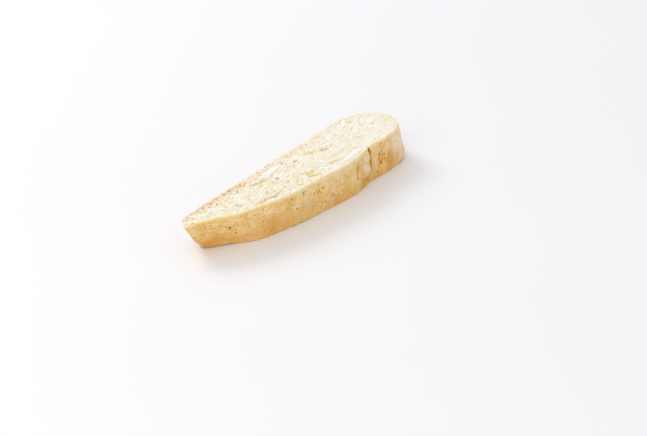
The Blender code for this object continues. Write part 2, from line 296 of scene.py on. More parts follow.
# What the knife and the oven left on the two cut faces, in mm.
crumb = {
    "swell": ((17.0, 10.0, 12.0), 0.2),   # size and height of the broad unevenness
    "lumps": ((5.0, 2.4, 2.6), 0.16),
    "knobs": ((3.6, 1.7, 2.0), 0.25),
    "grain": ((1.5, 0.9, 1.1), 0.3),
    "knobMean": 0.7,          # taken off knobs and grain, so that they lie about the cut
    "proudest": 0.2,          # the most that any of it stands out
    "stir": (1.4, 0.55),      # how far pores and grains wander from round
    "bubbles": (
        {"cell": 1.1, "radius": (0.18, 0.45), "share": 0.36, "stretch": 1.9, "lip": 0.18,
         "deepest": 0.45},
        {"cell": 2.3, "radius": (0.3, 0.75), "share": 0.16, "stretch": 2.5, "lip": 0.25,
         "deepest": 0.7},
    ),
    "upperCaves": {"cell": 5.0, "radius": (0.4, 0.9), "share": 0.15, "stretch": 2.2, "lip": 0.3,
                   "deepest": 0.6},
    "lowerCaves": {"cell": 6.5, "radius": (0.9, 2.3), "share": 0.4, "stretch": 1.7, "lip": 0.45,
                   "deepest": 1.5},
    "ragged": ((1.5, 0.9, 1.0), 0.35),    # how the rim of a pore wanders, in shares of its size
    "poreSlope": (1.15, 0.4),             # where a pore begins and is deepest, in the same shares
    "tearing": (1.1, 1.5, 0.12),          # how much deeper, wavier and narrower a tear is
    # painted shade: pores, tears and valleys of the cut faces darken with depth
    "darkDepth": 0.5,                     # how far down a pore is darkest
    # how open the crumb is near the tip and near the broad end, and where that changes
    "openness": (1.12, 0.6, -20.0, 46.0),
    # pores of the upper face: (along, across, length, width, turn, depth)
    "upperPores": (
        (-13.0, 2.5, 2.8, 1.7, 18, 1.5), (3.9, 5.7, 2.6, 1.5, 0, 1.6),
        (-31.8, 8.8, 2.2, 1.3, 20, 1.1), (-40.5, 1.2, 1.9, 0.9, 20, 0.7),
        (-25.9, -1.2, 2.0, 1.0, 25, 0.7), (-0.9, 8.3, 2.4, 0.9, 22, 0.7),
        (-11.0, -5.5, 2.2, 1.3, 0, 0.6), (-12.6, -8.2, 2.8, 1.3, -15, 0.6),
        (-17.8, -4.0, 2.6, 0.9, 10, 0.6), (-13.6, -2.9, 2.2, 0.8, 0, 0.5),
        (-22.2, -1.0, 2.0, 0.7, 10, 0.45), (6.9, -7.7, 2.2, 1.1, 20, 0.5),
        (11.0, -7.5, 2.8, 1.1, 10, 0.5), (9.5, -9.1, 1.8, 0.8, 0, 0.45),
        (24.1, 4.2, 1.8, 0.9, 20, 0.45), (20.0, 4.1, 2.0, 0.8, 0, 0.4),
        (29.0, 2.6, 2.2, 0.9, 10, 0.4), (24.0, 1.0, 2.2, 0.9, 20, 0.45),
        (33.6, 4.6, 2.4, 1.1, 20, 0.4), (43.5, 3.1, 3.4, 1.4, 5, 0.5),
        (48.6, 1.3, 3.2, 1.4, 0, 0.5), (53.1, -1.1, 3.2, 1.2, 10, 0.5),
        (42.6, 6.7, 2.4, 0.9, 0, 0.45), (55.0, -6.4, 2.0, 0.8, 10, 0.4),
        (28.6, -8.6, 2.4, 0.9, 25, 0.5), (54.6, 6.1, 7.4, 0.6, 16, 0.35),
        (49.0, 7.9, 3.2, 1.2, -20, 0.45), (29.6, 8.0, 3.4, 0.8, 10, 0.4),
        (34.4, 8.8, 2.2, 0.8, 20, 0.35), (1.5, 0.2, 2.4, 0.8, 0, 0.4),
        (3.2, -2.4, 2.4, 0.8, 0, 0.4), (-47.9, 4.4, 1.5, 0.9, 30, 0.4),
        (-51.0, 7.1, 1.2, 0.8, 30, 0.5), (-55.5, 6.9, 2.4, 0.6, 20, 0.4),
        (-45.3, 8.8, 2.6, 0.8, 20, 0.5), (-60.8, 12.0, 1.6, 0.6, 20, 0.35),
        (-50.3, 12.0, 2.3, 0.9, 35, 0.5), (-46.1, 11.4, 1.9, 1.1, 50, 0.45),
        (-43.6, 11.8, 1.2, 0.7, 20, 0.3), (-41.8, 11.0, 2.1, 0.8, 40, 0.4),
        (-37.0, 11.2, 1.5, 1.2, 0, 0.45), (-33.6, 10.5, 2.2, 0.8, 20, 0.35),
        (-27.2, 10.9, 1.8, 1.0, 30, 0.45), (-13.0, 11.8, 1.8, 0.7, 30, 0.4),
        (-5.2, 11.6, 1.7, 1.0, 30, 0.4), (10.0, 10.8, 2.0, 0.8, 30, 0.4),
        (31.5, -12.0, 1.8, 1.6, 0, 0.9), (-21.0, 12.4, 1.5, 0.8, 20, 0.4),
        (24.5, 7.0, 2.0, 0.8, 25, 0.4), (-53.2, 12.3, 1.4, 0.9, 30, 0.5),
        (-57.0, 12.4, 1.3, 0.7, 30, 0.4),
    ),
    # torn lines of the upper face: corners of (along, across, width, depth)
    "tears": (
        ((-38.0, -2.9, 0.7, 0.24), (-34.9, -3.7, 1.3, 0.56), (-31.2, -3.9, 1.8, 0.8),
         (-29.2, -4.3, 1.1, 0.48), (-27.8, -5.3, 1.8, 0.8), (-24.6, -5.5, 1.5, 0.64),
         (-20.4, -4.9, 0.7, 0.24)),
        ((-27.2, 9.3, 0.7, 0.24), (-24.9, 8.3, 0.8, 0.4), (-22.4, 6.9, 1.1, 0.48),
         (-19.2, 6.1, 1.5, 0.64), (-16.1, 5.4, 0.8, 0.36), (-12.4, 4.9, 0.8, 0.32)),
        ((16.4, 3.4, 0.8, 0.32), (18.8, 2.0, 2.0, 0.8), (21.8, 0.9, 1.3, 0.56)),
        ((11.4, 5.6, 1.1, 0.32), (13.0, 5.0, 2.0, 0.64), (16.4, 4.0, 1.0, 0.4)),
        ((11.0, -3.6, 0.7, 0.16), (14.8, -4.6, 1.0, 0.32), (19.0, -4.9, 0.7, 0.24),
         (23.5, -5.1, 1.0, 0.32), (28.5, -5.6, 0.7, 0.24), (33.2, -7.2, 0.7, 0.16)),
        ((9.5, -6.8, 0.7, 0.24), (13.8, -8.1, 1.1, 0.4), (17.9, -9.0, 0.8, 0.32),
         (22.6, -9.6, 0.8, 0.32), (29.0, -9.6, 0.7, 0.16)),
        ((-5.2, -3.3, 1.0, 0.28), (-3.0, -4.9, 2.1, 0.64), (0.2, -5.6, 1.3, 0.4)),
        ((-5.0, -6.8, 1.1, 0.32), (-2.1, -8.1, 2.1, 0.64), (0.4, -9.0, 1.1, 0.4)),
        ((34.4, -1.7, 0.8, 0.24), (36.6, -2.9, 1.7, 0.56), (40.0, -4.4, 1.3, 0.4)),
    ),
    # what an almond does to the crumb, by how far outside its rim that is
    "crease": (0.35, 0.1, 4.0),           # width and depth of the cracks, and their spacing
    "cracked": (0.1, 0.5),                # where in their noise they begin and are whole
    "covered": (0.8, 1.1),                # no pore within, all of it beyond, in shares of a nut
    "calm": (-0.4, 0.7, 0.25),            # from, to, and how rough it still is at the rim
    # painted shade in the crease round an almond's rim
    "shade": (0.35, -0.1, 0.15),          # from, to, and how dark
    # its hollow: gap below it, how much of its size it takes up, and the step at its edge
    "seat": (0.04, 0.93, 0.1),
}

# The baked outside, in mm: along the slice and up from the lower cut face.
crust = {
    "dents": ((13.0, 13.0, 8.0), 0.34),   # size and height
    "lumps": ((4.2, 4.2, 3.4), 0.14),
    "grain": ((1.5, 1.5, 1.3), 0.07),
    "wander": ((1.8, 1.8, 1.8), 0.35),    # how the rims of its toasted and pale places wander
    "sway": (0.5, 0.3),                   # share of that in marks and splits, and in split width
    "ragged": ((0.9, 0.9, 0.9), 0.8),     # how the rims of its pits wander
    "uneven": ((7.0, 7.0, 5.0), 1.0),     # three sizes of unevenness in its browning
    "patchy": ((14.0, 14.0, 9.0), 1.0),
    "dusty": ((2.2, 2.2, 1.8), 1.0),
    "domeFacing": (0.1, -0.25),           # how it faces, across, where the base becomes dome
    "roundEnd": (44.0, 56.0, 0.7),        # from, to, and how much further round the dome goes
    # painted shade: the dome's wall is browner towards the bottom
    "lowShade": (0.41, 0.2, 0.35),        # browner low down: amount, unevenness and dust
    "tipSwell": (-50.0, -60.0, 0.2, 0.6),    # a bulge low on the tip: from, to, height, lift
    "nutSeat": (0.86, 0.66, 1.2),         # hollow of the almond: its slope and depth
    "toneSlope": (1.25, 0.2),             # where toasted and pale places begin and are whole
    "markSlope": (1.0, 0.1),
    # a pit's slope and share of depth, then the same for its darkening: a brown stain, and painted
    # shade in its depth
    "pitSlopes": ((1.6, 0.2, 0.55), (1.8, 0.4, 2.3)),
    # splits and pits darken with depth: partly brown stain, partly painted shade in their depths
    "darkDepth": (1.2, 0.75),             # how deep a split and a pit of the base are darkest
    "basePits": {"cell": 1.7, "radius": (0.15, 0.6), "share": 0.3, "stretch": 1.3, "lip": 0.25,
                 "deepest": 0.3},
    "baseStir": (1.2, 0.5),               # how far those pits wander from round
    "baseBrown": (0.08, 0.55, 0.35),      # even, patchy and uneven browning of the base
    "basePale": (0.2, -0.8, 0.5, 0.16),   # its paler places: slope, unevenness and amount
    # how browning, unevenness and dust thin and break up the pale places, and their most
    "paleBreaks": (0.6, 0.5, 0.6, 0.9),
    "paleFacing": (-1.0, -8.0),           # across: pale places stay on the dome's side
    # lumps and dents of the dome: (along, up, length, height, turn, lift)
    "marks": (
        (28.0, 7.4, 11.5, 8.0, -36, 0.55), (28.9, 11.2, 6.4, 1.8, -30, -0.4),
        (27.0, 2.8, 9.0, 3.2, 8, -0.5), (22.0, 11.2, 2.4, 2.4, 15, 0.6),
        (17.6, 8.5, 4.0, 6.0, 0, 0.3), (46.2, 13.8, 2.2, 3.4, -8, -0.35),
        (48.4, 12.6, 1.5, 3.2, -5, 0.3), (-34.0, 3.0, 2.6, 2.0, 10, -0.5),
        (-43.0, 4.6, 6.5, 5.0, 0, 0.3), (-54.0, 10.6, 7.0, 4.0, 10, 0.25),
        (46.6, 6.0, 5.0, 10.0, 0, -0.3), (37.0, 8.0, 5.0, 9.0, 0, 0.25),
        (35.6, 13.0, 2.6, 4.0, 0, 0.3), (29.4, 14.0, 2.6, 3.4, 0, 0.3),
        (5.4, 4.0, 3.4, 6.0, 0, -0.35), (0.8, 5.2, 4.0, 4.0, 0, 0.25),
        (13.2, 5.6, 3.0, 3.0, 0, -0.25), (-9.0, 9.0, 8.0, 5.0, 0, 0.2),
        (-22.0, 7.0, 7.0, 5.0, 0, 0.2), (30.6, 2.2, 2.6, 1.2, 20, 0.35),
        (6.6, 0.9, 1.3, 2.2, 10, -0.9), (22.8, 14.9, 1.6, 1.8, 0, 0.35),
        (18.8, 14.6, 2.2, 1.8, 10, -0.4), (20.2, 10.0, 1.8, 1.6, 0, -0.5),
        (19.0, 12.8, 1.4, 1.6, 0, 0.3), (39.4, 8.0, 2.6, 3.4, 0, -0.15),
        (41.9, 8.2, 1.6, 2.6, 0, -0.12), (40.2, 12.6, 2.4, 3.0, 0, -0.12),
        (21.8, 8.2, 2.6, 5.0, -10, -0.4), (60.5, 2.6, 20.0, 11.0, 0, 1.3),
    ),
    # pits: (along, up, width, depth)
    "pits": (
        (-58.0, 11.7, 0.5, 0.3), (-52.4, 10.8, 0.5, 0.3), (-49.0, 9.0, 0.8, 0.45),
        (-21.6, 12.8, 0.6, 0.35), (-18.6, 7.7, 0.7, 0.4), (-16.6, 5.5, 0.5, 0.3),
        (-14.4, 13.1, 0.7, 0.5), (-13.1, 13.3, 0.5, 0.3), (-6.1, 14.0, 0.5, 0.3),
        (-5.6, 13.2, 0.5, 0.3), (-5.0, 10.3, 0.6, 0.35), (-2.9, 11.0, 0.7, 0.5),
        (-3.8, 9.2, 0.5, 0.3), (-4.6, 7.5, 0.5, 0.3), (3.6, 5.5, 0.7, 0.45),
        (-3.0, 4.9, 0.6, 0.35), (-1.1, 4.6, 0.7, 0.35), (-3.1, 2.8, 0.5, 0.35),
        (-30.8, 2.4, 0.6, 0.3), (-8.1, 4.8, 0.5, 0.3), (39.1, 10.1, 0.8, 0.4),
        (42.0, 9.2, 0.8, 0.4), (42.3, 7.3, 0.7, 0.35), (39.7, 6.3, 1.1, 0.4),
        (38.1, 8.2, 0.7, 0.4), (38.3, 5.4, 0.6, 0.3), (40.3, 11.4, 0.7, 0.3),
        (40.7, 7.4, 0.5, 0.3), (37.9, 2.5, 0.8, 0.3), (40.1, 14.4, 0.8, 0.2),
        (39.6, 13.4, 0.8, 0.16), (51.3, 11.2, 0.6, 0.12), (-46.0, 5.8, 0.5, 0.3),
        (-41.5, 7.5, 0.4, 0.3), (12.8, 10.0, 0.6, 0.3), (-36.0, 8.4, 0.4, 0.3),
        (-28.5, 10.6, 0.4, 0.25), (8.2, 8.6, 0.5, 0.25), (24.6, 4.6, 0.5, 0.25),
    ),
    # splits from the top down: (along, up, width, depth)
    "splits": (
        ((31.0, 16.8, 1.0, 1.4), (31.3, 15.2, 1.1, 1.5), (32.2, 13.8, 1.0, 1.1),
         (32.9, 12.5, 1.0, 0.7), (32.7, 11.2, 0.7, 0.45), (32.3, 10.0, 0.9, 1.3),
         (32.4, 8.6, 0.9, 1.3), (32.8, 7.0, 0.8, 1.0), (33.1, 5.4, 0.5, 0.4)),
        ((22.4, 13.6, 0.5, 0.2), (20.7, 12.2, 0.8, 0.4), (20.2, 10.4, 1.2, 0.55),
         (19.3, 9.0, 1.1, 0.6), (19.6, 7.4, 1.0, 0.55), (21.0, 5.8, 0.5, 0.25)),
        ((24.6, 11.6, 0.4, 0.12), (27.4, 10.9, 0.5, 0.2), (30.4, 9.2, 0.5, 0.25),
         (32.0, 8.0, 0.3, 0.2)),
        ((29.2, 2.8, 0.4, 0.2), (30.6, 1.7, 0.6, 0.4), (32.2, 1.2, 0.5, 0.3)),
        ((45.7, 15.6, 0.8, 0.24), (45.6, 13.8, 0.8, 0.2), (46.6, 11.6, 0.5, 0.12)),
    ),
    # browner places: (along, up, length, height, turn, amount)
    "toasted": (
        (46.0, 5.7, 8.0, 11.0, 5, 1.08), (-58.0, 2.4, 24.0, 9.0, 6, 0.8),
        (-57.0, 8.4, 16.0, 11.0, 0, 0.2), (27.0, 2.4, 12.0, 4.4, 8, 0.8),
        (38.6, 14.6, 8.0, 3.4, 0, 0.15), (9.0, 14.2, 9.0, 3.0, 0, 0.2),
        (18.0, 14.2, 7.0, 3.0, 0, 0.25), (41.6, 13.2, 5.0, 4.0, 0, 0.5),
        (13.6, 5.0, 4.0, 3.4, 0, 0.35), (6.0, 3.0, 5.0, 5.0, 0, 0.4),
        (-30.6, 5.4, 11.0, 12.0, 0, 0.6), (20.4, 11.4, 3.0, 5.0, 0, 0.5),
        (-26.0, 13.4, 9.0, 3.4, 10, 0.3), (39.8, 8.4, 5.0, 9.0, 0, 0.5),
        (-40.0, 14.2, 14.0, 3.0, 0, 0.3), (46.6, 14.2, 3.6, 4.4, 0, 0.4),
        (37.0, 1.6, 10.0, 3.0, 10, 0.3), (11.6, 9.6, 4.0, 5.0, 0, 0.3),
        (-57.0, 13.6, 16.0, 4.0, 0, 0.3), (-63.0, 11.0, 6.0, 9.0, 0, 0.2),
        (-24.0, 9.0, 9.0, 4.0, 20, 0.25), (-48.0, 8.0, 5.0, 7.0, 0, 0.3),
        (32.4, 13.6, 2.6, 3.6, 20, 1.2), (51.8, 4.6, 6.0, 6.0, 0, 0.5),
    ),
    # paler places, in the same way: floury places, and painted light at the broad end and in long
    # bands along the top of the wall
    "paleAndPaintedLight": (
        (28.4, 11.6, 6.4, 4.4, -20, 0.55), (17.0, 8.6, 4.4, 6.5, 0, 0.35),
        (-43.0, 5.4, 9.0, 6.0, 0, 0.25), (-51.0, 9.4, 9.0, 5.0, 0, 0.35),
        (0.8, 5.2, 4.0, 3.0, 0, 0.3), (58.4, 9.0, 26.0, 22.0, 0, 0.85),
        (-17.0, 9.5, 12.0, 5.0, 0, 0.25), (50.4, 12.6, 3.0, 5.0, 0, 0.6),
        (28.0, 8.0, 8.0, 6.0, -25, 0.8), (-54.0, 7.4, 20.0, 7.0, 0, 0.3),
        (-32.0, 10.0, 10.0, 5.0, 0, 0.2), (3.8, 6.4, 4.0, 13.0, 0, 0.45),
        (-10.6, 7.0, 8.0, 5.0, 0, 0.4), (20.0, 6.0, 3.6, 8.0, 0, 0.5),
        (36.0, 8.4, 3.6, 7.0, 0, 0.4), (-12.0, 13.6, 14.0, 3.0, 0, 0.3),
        (10.0, 13.8, 34.0, 5.0, 0, 0.28), (-38.0, 14.4, 30.0, 4.0, 0, 0.2),
        (40.0, 12.6, 12.0, 6.0, 0, 0.2),
    ),
}


# Middle, directions and sizes of one node: its long direction is that of greatest spread across
# outward, pointed at the blunter end, and the third direction makes a right-handed set.
def nutFrame(name, outward):
    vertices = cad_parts[name].data.vertices
    points = np.empty(3 * len(vertices))
    vertices.foreach_get("co", points)
    points = points.reshape(-1, 3) / millimetre - toFrame
    outward = np.array(outward, float)
    middle = points.mean(axis=0)
    flat = (points - middle) - np.outer((points - middle) @ outward, outward)
    ahead = np.linalg.eigh(flat.T @ flat)[1][:, -1]
    axes = np.array([ahead, np.cross(outward, ahead), outward])
    own = (points - middle) @ axes.T
    if (np.abs(own[:, 1]) * own[:, 0]).sum() < 0:
        axes[:2] *= -1
        own[:, :2] *= -1
    low, high = own.min(axis=0), own.max(axis=0)
    return {"name": name, "middle": middle + ((low + high) / 2) @ axes, "axes": axes,
            "size": high - low}


# Share of the way from the middle of an almond to its outline, in its own directions.
def nutShare(points, nut, taper):
    own = (points - nut["middle"]) @ nut["axes"].T
    ahead = own[..., 0] / (nut["size"][0] / 2)
    aside = own[..., 1] / (nut["size"][1] / 2) / (1 + taper * np.clip(ahead, -1, 1))
    return np.hypot(ahead, aside)


# The points are worked out in the slice's own frame, in mm, which is this far from the scene's.
low, high = (np.array(corner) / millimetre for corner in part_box("slice"))
middle = (rows.min(axis=(0, 1)) + rows.max(axis=(0, 1))) / 2
toFrame = np.array([*((low + high) / 2 - middle)[:2], 0.0])

# The almond slivers, in mm.
almond = {
    "taper": 0.28,            # how much blunter one end is
    "rim": 0.14,              # how far its rim dips under the crumb
    "uneven": ((6.0, 2.5, 2.5), 0.14),    # size and height
    "grooves": ((5.0, 0.5, 0.8), 0.03),
    "ragged": ((2.6, 2.6, 2.6), 0.19),    # how its outline wanders, in shares of its size
    "spine": 0.86,            # how much of its length the lines take on which it closes
    "around": 132,            # points round one
    "rings": 9,               # rows on each side of its rim
    # level of the rim below the top of the CAD node, which stands 0.14 mm out of the cut face,
    # then how deep one sits, how far its face rises over its rim, and how flat that face is
    "sliced": {"level": 0.28, "depth": 1.1, "crown": 0.09, "flatness": 3.6},
    "whole": {"level": 0.75, "depth": 1.0, "crown": 0.75, "flatness": 2.4},
}
upward, downward, frontward = (0, 0, 1), (0, 0, -1), (0, -1, 0)
upperNuts = [nutFrame(f"almond_upper_{n}", upward) for n in range(1, 9)]
lowerNuts = [nutFrame(f"almond_lower_{n}", downward) for n in range(1, 5)]
crustNut = nutFrame("almond_crust", frontward)


# Depth of a torn line: a soft V across the broken line through its corners, with width and depth
# blended from corner to corner. Wander moves its rims.
def tornDepth(along, across, line, wander):
    deepest = np.zeros(len(along))
    for start, end in zip(line, line[1:]):
        run, rise = end[0] - start[0], end[1] - start[1]
        part = ((along - start[0]) * run + (across - start[1]) * rise) / (run ** 2 + rise ** 2)
        part = np.clip(part, 0, 1)
        away = np.hypot(along - start[0] - part * run, across - start[1] - part * rise)
        width = np.maximum(start[2] + part * (end[2] - start[2]), 0.35)   # or the mesh misses it
        deep = start[3] + part * (end[3] - start[3])
        deepest = np.maximum(deepest, deep * smoothStep(0.95, 0.1, away / width + wander))
    return deepest


# How open the crumb is: it goes smoothly from its value near the tip to that of the broad end.
def openCrumb(along):
    nearTip, nearEnd, start, stop = crumb["openness"]
    return nearTip + (nearEnd - nearTip) * smoothStep(start, stop, along)


# Cut face: broad unevenness, lumps, knobs and grain, less the open bubbles, the named pores and
# tears with their wandering rims, and a hollow under each almond. Gives the lift, and the painted
# shade: darker the further down a pore, tear or valley, and in a line round each almond.
def cutRelief(points, side):
    caves = crumb["upperCaves" if side > 0 else "lowerCaves"]
    loose = stirred(points, *crumb["stir"], 31)
    swell = layeredNoise(points, *crumb["swell"], 11)
    lumps = layeredNoise(points, *crumb["lumps"], 12)
    knobs = sum(height * (grainLumps(loose, size, 17 + n) - crumb["knobMean"])
                for n, (size, height) in enumerate((crumb["knobs"], crumb["grain"])))
    opened = openCrumb(points[:, 0])
    depth = np.zeros(len(points))
    for n, kind in enumerate((*crumb["bubbles"], caves)):
        bubbles = openBubbles(loose, side, kind, 40 + 7 * n)
        depth = np.maximum(depth, bubbles * np.maximum(opened, 1))
    if side > 0:
        wander = layeredNoise(points, *crumb["ragged"], 71, 2)
        pores = ovalAmounts(loose[:, 0], loose[:, 1], crumb["upperPores"], wander,
                            crumb["poreSlope"])
        depth = np.maximum(depth, pores.max(axis=0))
        deeper, wavier, narrower = crumb["tearing"]
        for tear in crumb["tears"]:
            torn = tornDepth(loose[:, 0], loose[:, 1], tear, wavier * wander + narrower)
            depth = np.maximum(depth, deeper * torn)
    depth *= np.minimum(opened, 1)
    seat, calm, nutRimShade = np.zeros(len(points)), np.ones(len(points)), np.zeros(len(points))
    gap, taken, step = crumb["seat"]
    width, deep, spacing = crumb["crease"]
    *calmSlope, rest = crumb["calm"]
    cracked = layeredNoise(points, (spacing,) * 3, 1.0, 77, 2)
    cracked = smoothStep(*crumb["cracked"], cracked)
    for nut in upperNuts if side > 0 else lowerNuts:
        share = nutShare(points, nut, almond["taper"])
        under = np.sqrt(np.clip(1 - (share / taken) ** 2, 0, 1))
        under *= almond["sliced"]["depth"] + gap
        seat = np.maximum(seat, under + step * (under > 0))
        away = (share - 1.0) * nut["size"][1] / 2
        crack = cracked * deep * np.exp(-(away / width) ** 2)
        depth = np.maximum(depth * smoothStep(*crumb["covered"], share), crack)
        calm = np.minimum(calm, smoothStep(*calmSlope, away))
        nutRimShade = np.maximum(nutRimShade, ramp(away, *crumb["shade"]))
    rough = (lumps + knobs * opened) * (rest + (1 - rest) * calm) - depth
    # painted shade: the deeper below the grains, the darker and more honey-coloured, and a line
    # round each almond
    shadeAndStain = np.maximum(smoothStep(0.0, -crumb["darkDepth"], rough), nutRimShade)
    return swell + np.minimum(rough, crumb["proudest"]) - seat, shadeAndStain


# Crust: broad dents, lumps and grain. The dome adds its own marks, pits and splits, and the flat
# base its many small pits. Gives lift; how dark its pits and splits are, by their brown stain and
# by painted shade in their depths; browning, with painted shade towards the bottom of the wall;
# paleness, with painted light at the broad end and along the top; and the share of flat base.
def crustRelief(points, facing):
    along, up = points[:, 0], points[:, 2]
    height = up / thicknessAt(along)
    lift = sum(layeredNoise(points, *crust[name], 101 + n)
               for n, name in enumerate(("dents", "lumps", "grain")))
    wander = layeredNoise(points, *crust["wander"], 131, 2)
    ragged = layeredNoise(points, *crust["ragged"], 137, 2)
    uneven, patchy, dusty = (layeredNoise(points, *crust[name], seed) for name, seed in
                             (("uneven", 163), ("patchy", 161), ("dusty", 167)))
    dome = smoothStep(*crust["domeFacing"], facing - ramp(along, *crust["roundEnd"]))

    sway, inWidth = crust["sway"]
    marks = ovalAmounts(along, up, crust["marks"], wander * sway, crust["markSlope"])
    lift += dome * marks.sum(axis=0)
    rounds = [(x, y, width, width, 0, deep) for x, y, width, deep in crust["pits"]]
    deepest, stainAndShade = (most * ovalAmounts(along, up, rounds, ragged, slope).max(axis=0)
                      for *slope, most in crust["pitSlopes"])
    # splits and pits darken with depth: partly brown stain, partly painted shade in their depths
    splitDark, baseDark = crust["darkDepth"]
    for split in crust["splits"]:
        torn = tornDepth(along + wander * sway, up, split, wander * inWidth)
        deepest, stainAndShade = np.maximum(deepest, torn), np.maximum(stainAndShade, torn / splitDark)
    loose = stirred(points, *crust["baseStir"], 157)
    pits = openBubbles(loose[:, [0, 2, 1]], 1, crust["basePits"], 151) * (1 - dome)
    depth = np.maximum(deepest * dome, pits)
    stainAndShade = np.clip(np.maximum(stainAndShade * dome, pits / baseDark), 0, 1)
    beside = np.abs((points - crustNut["middle"]) @ crustNut["axes"][2]) < crustNut["size"][2]
    seat = dome * beside * ramp(nutShare(points, crustNut, 0.0), *crust["nutSeat"])
    start, stop, level, swell = crust["tipSwell"]
    lift += swell * smoothStep(start, stop, along) * np.exp(-((height - level) / level) ** 2)

    # browning, and paler places: floury ones, and painted light at the broad end and along the top
    # of the wall
    brownAndShade, paleAndPaintedLight = (ovalAmounts(along, up, crust[name], wander, crust["toneSlope"]).max(axis=0)
                   for name in ("toasted", "paleAndPaintedLight"))
    # painted shade: browner towards the bottom of the wall
    amount, shift, dust = crust["lowShade"]
    low = amount * smoothStep(1.0, 0.0, height + shift * uneven)
    brownAndShade = np.maximum(brownAndShade, low + brownAndShade * (1 - low)) * (1 + dust * dusty) * dome
    even, inPatches, unevenly = crust["baseBrown"]
    brownAndShade += (1 - dome) * np.clip(even + inPatches * patchy + unevenly * uneven, 0, 1)
    byBrown, byUneven, byDust, most = crust["paleBreaks"]
    paleAndPaintedLight *= dome * (1 - low) * (1 - byBrown * np.clip(brownAndShade, 0, 1))
    paleAndPaintedLight *= smoothStep(*crust["paleFacing"], points[:, 1])
    paleAndPaintedLight = np.clip(paleAndPaintedLight * (1 + byUneven * uneven + byDust * dusty), 0, most)
    start, stop, shift, amount = crust["basePale"]
    paleAndPaintedLight += (1 - dome) * amount * smoothStep(start, stop, patchy + shift * uneven)
    return lift - np.maximum(depth, seat), stainAndShade, brownAndShade, paleAndPaintedLight, 1 - dome


# Rows of rings and the two spines they close on become one mesh of four-sided faces.
def skinMesh(name, rows, spines):
    count, around = rows.shape[:2]
    half = around // 2
    points = np.vstack([rows.reshape(-1, 3), *spines])
    ring = np.arange(around)
    toSpine = np.minimum(ring, around - ring)
    grid = np.arange(count * around).reshape(count, around)
    lower, upper = count * around + toSpine, count * around + half + 1 + toSpine
    grid = np.vstack([lower, grid, upper])
    after = np.roll(grid, -1, axis=1)
    quads = np.stack([grid[:-1], after[:-1], after[1:], grid[1:]], axis=-1).reshape(-1, 4)
    return meshOf(name, points, quads)


# A new object in the scene, with its place in its data.
def newObject(name, data):
    piece = bpy.data.objects.new(name, data)
    bpy.context.scene.collection.objects.link(piece)
    return piece


# A smooth mesh object from points in mm of the slice's own frame.
def meshOf(name, points, faces):
    data = bpy.data.meshes.new(name)
    data.vertices.add(len(points))
    data.vertices.foreach_set("co", ((points + toFrame) * millimetre).astype(np.float32).ravel())
    sides = faces.shape[1]
    data.loops.add(faces.size)
    data.loops.foreach_set("vertex_index", faces.astype(np.int32).ravel())
    data.polygons.add(len(faces))
    data.polygons.foreach_set("loop_start", np.arange(0, faces.size, sides, dtype=np.int32))
    data.update(calc_edges=True)
    data.validate()
    data.polygons.foreach_set("use_smooth", np.ones(len(data.polygons), bool))
    return newObject(name, data)


# One number for each point, which a material reads by name.
def setAttribute(piece, name, values):
    layer = piece.data.attributes.new(name, "FLOAT", "POINT")
    layer.data.foreach_set("value", values.astype(np.float32))


# The two cut edges and what runs along them, in mm. From and to are places along the slice.
cutEdges = {
    "turned": (0.25, 0.9),                # how far the skin has turned from crust to crumb
    "domeFacing": (0.3, -0.3),            # how the crust beside an edge faces, across
    "baseFacing": (0.2, 0.8),
    "chips": ((2.6, 2.6, 2.6), 0.42),     # size and depth
    "chipped": (0.15, 0.75),              # where in their noise they begin and are whole
    "crumbs": ((1.3, 1.3, 1.3), 0.24),
    "chipReach": 0.8,
    "pitInside": (0.05, 0.3),             # how dark a pit is where all of it shows as crust
    "cleaner": (-10.0, 5.0, 0.85),        # from, to, and how much fewer there are on the dome
    # the painted shade of the pores thins out along the dome's edge, which makes that edge lighter
    "packed": (-15.0, 5.0, 0.5, 3.2),     # denser crumb along the dome: from, to, amount, reach
    # toasted band on the cut faces along the base: its slope from the edge, how that wanders, its
    # share round the broad end, and its share of itself before and after two places
    "band": (5.2, 1.2),
    "bandWander": ((5.0, 3.0, 5.0), 1.8),
    "bandRoundEnd": (46.0, 58.0, 0.8),
    "bandShares": ((-12.0, -32.0, 0.4, 1.0), (-55.0, -62.0, 1.0, 0.4)),
    "wander": ((2.4, 2.4, 2.0), 0.9),     # how the edge of the crust's colour wanders
    # it starts this much further down the wall along the base, and from and to along the dome,
    # but this much further onto the cut face below a height
    "baseShift": 0.7,
    "domeShift": (-15.0, 5.0, 0.2),
    "lowerHalf": (8.0, 2.2),
    "fades": ((-0.5, 0.25), (0.25, 2.3)),     # from crumb to rim, and from rim to full crust
}


